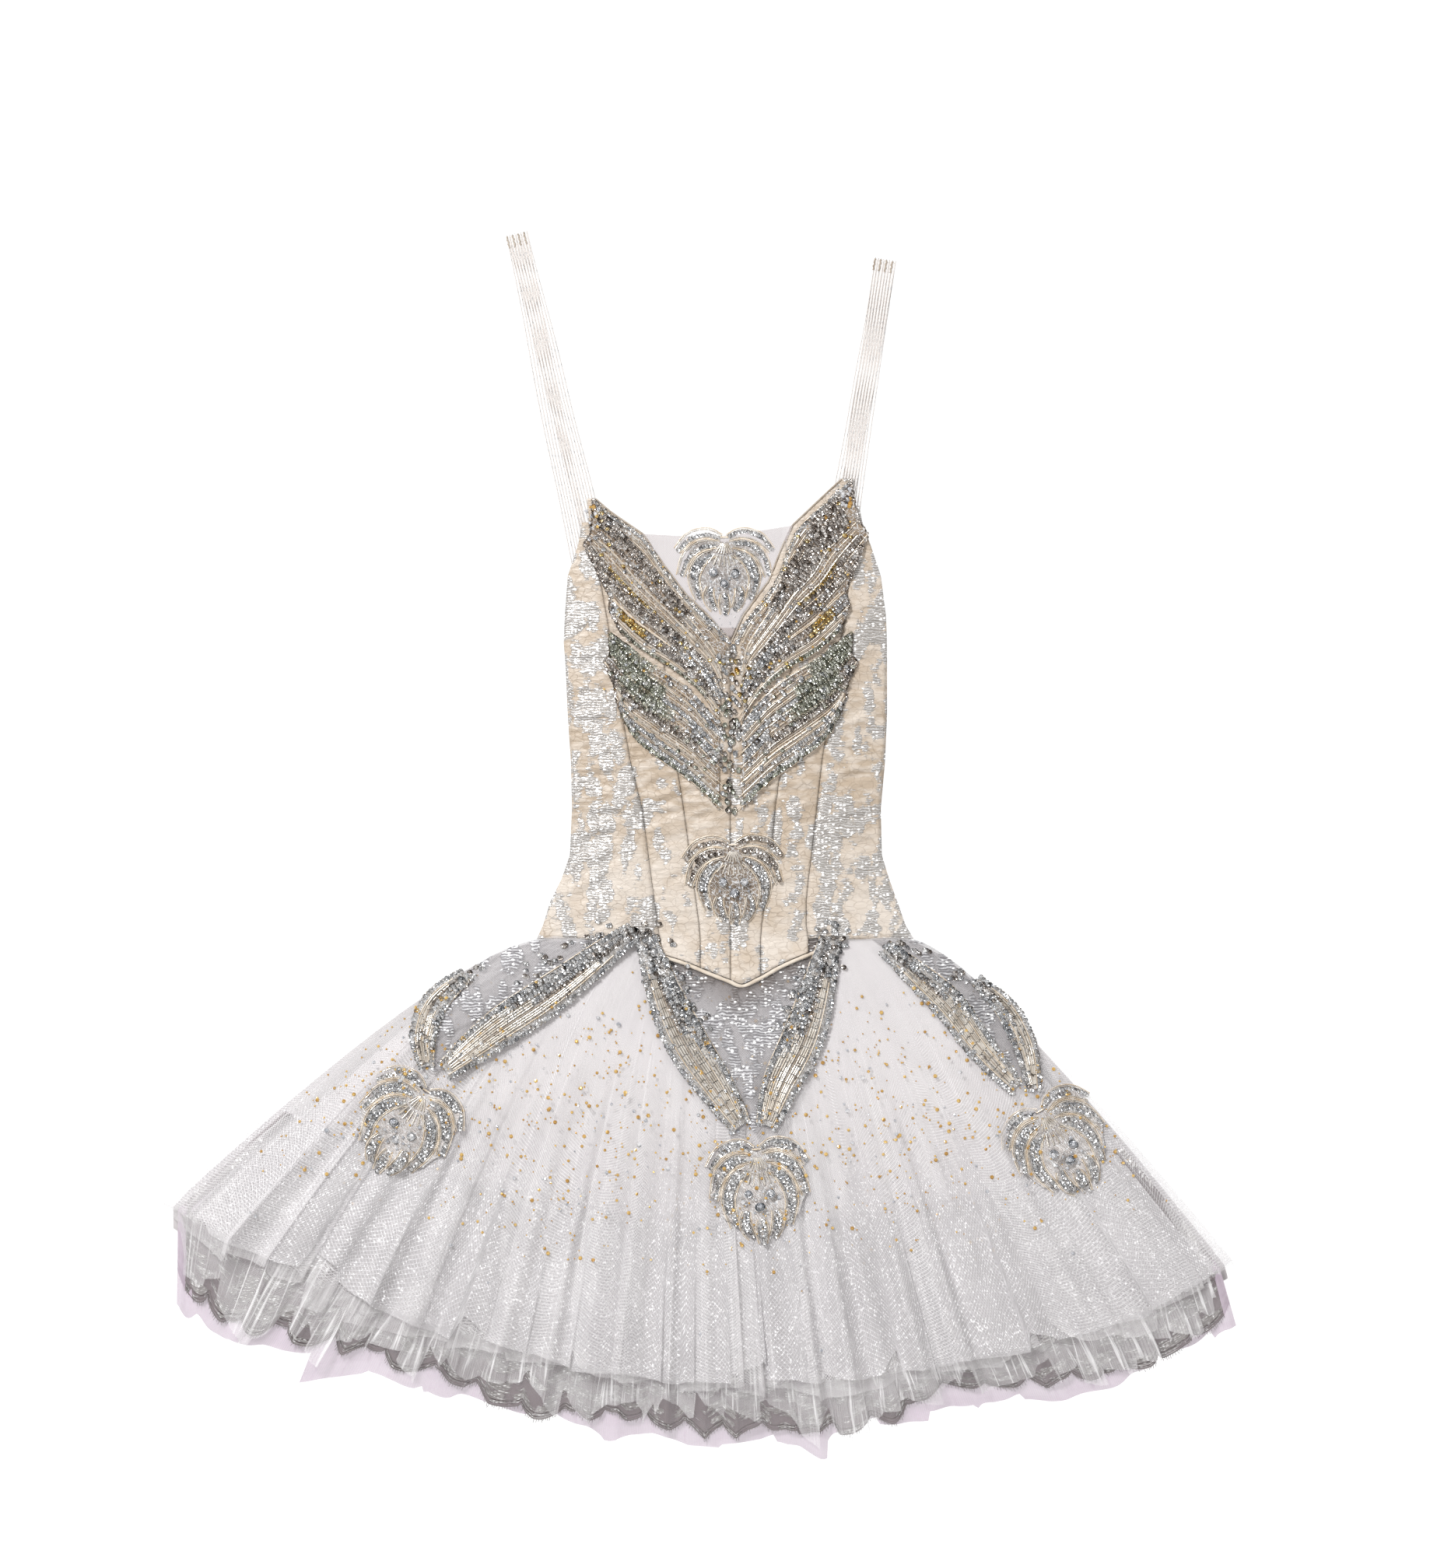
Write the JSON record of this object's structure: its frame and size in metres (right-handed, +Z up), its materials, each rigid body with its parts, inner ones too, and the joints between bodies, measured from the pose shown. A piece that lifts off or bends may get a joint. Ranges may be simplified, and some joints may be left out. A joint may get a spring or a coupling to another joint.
{
  "type": "ballet tutu",
  "caption": "Ballet tutu laid flat: boned pointed bodice with elastic straps, beaded sprays and palmettes, and a layered gathered net and lace skirt.",
  "frame": {"origin": "on the floor under the middle of the waist, on the flat underside of the bodice's back", "axes": "+Z up from the surface that it lies on, out of the bodice's front; +Y from the skirt towards the straps; +X to the right as seen from above"},
  "size_m": [1.035, 1.1901, 0.0502],
  "materials": {
    "satin": "cream satin",
    "brocade": "cream satin under silver lace",
    "elastic": "clear elastic with silver threads",
    "soft_net": "soft white net",
    "glitter_net": "white net with silver threads",
    "stiff_net": "stiff pinkish net",
    "silver_lace": "grey and silver lace",
    "beading": "silver and taupe sequins and beads"
  },
  "bodies": {
    "root": {"back_left": "satin", "back_right": "satin", "point_binding": "satin", "centre_front_left": "brocade", "centre_front_right": "brocade", "front_left": "brocade", "front_right": "brocade", "side_left": "brocade", "side_right": "brocade", "strap_left": "elastic", "strap_right": "elastic", "neck_insert": "soft_net", "soft_frill": "soft_net", "top_net": "soft_net", "glitter_net": "glitter_net", "skirt_back": "stiff_net", "inner_frills": "stiff_net", "net_frill": "stiff_net", "lace_frill": "silver_lace", "hip_lace_left": "silver_lace", "hip_lace_centre": "silver_lace", "hip_lace_right": "silver_lace", "spray_upper_left": "beading", "spray_upper_right": "beading", "spray_lower_left": "beading", "spray_lower_right": "beading", "band_left_outer": "beading", "band_left_inner": "beading", "band_centre_left": "beading", "band_centre_right": "beading", "band_right_inner": "beading", "band_right_outer": "beading", "palmette_neck": "beading", "palmette_belly": "beading", "palmette_left": "beading", "palmette_centre": "beading", "palmette_right": "beading"}
  },
  "joints": []
}
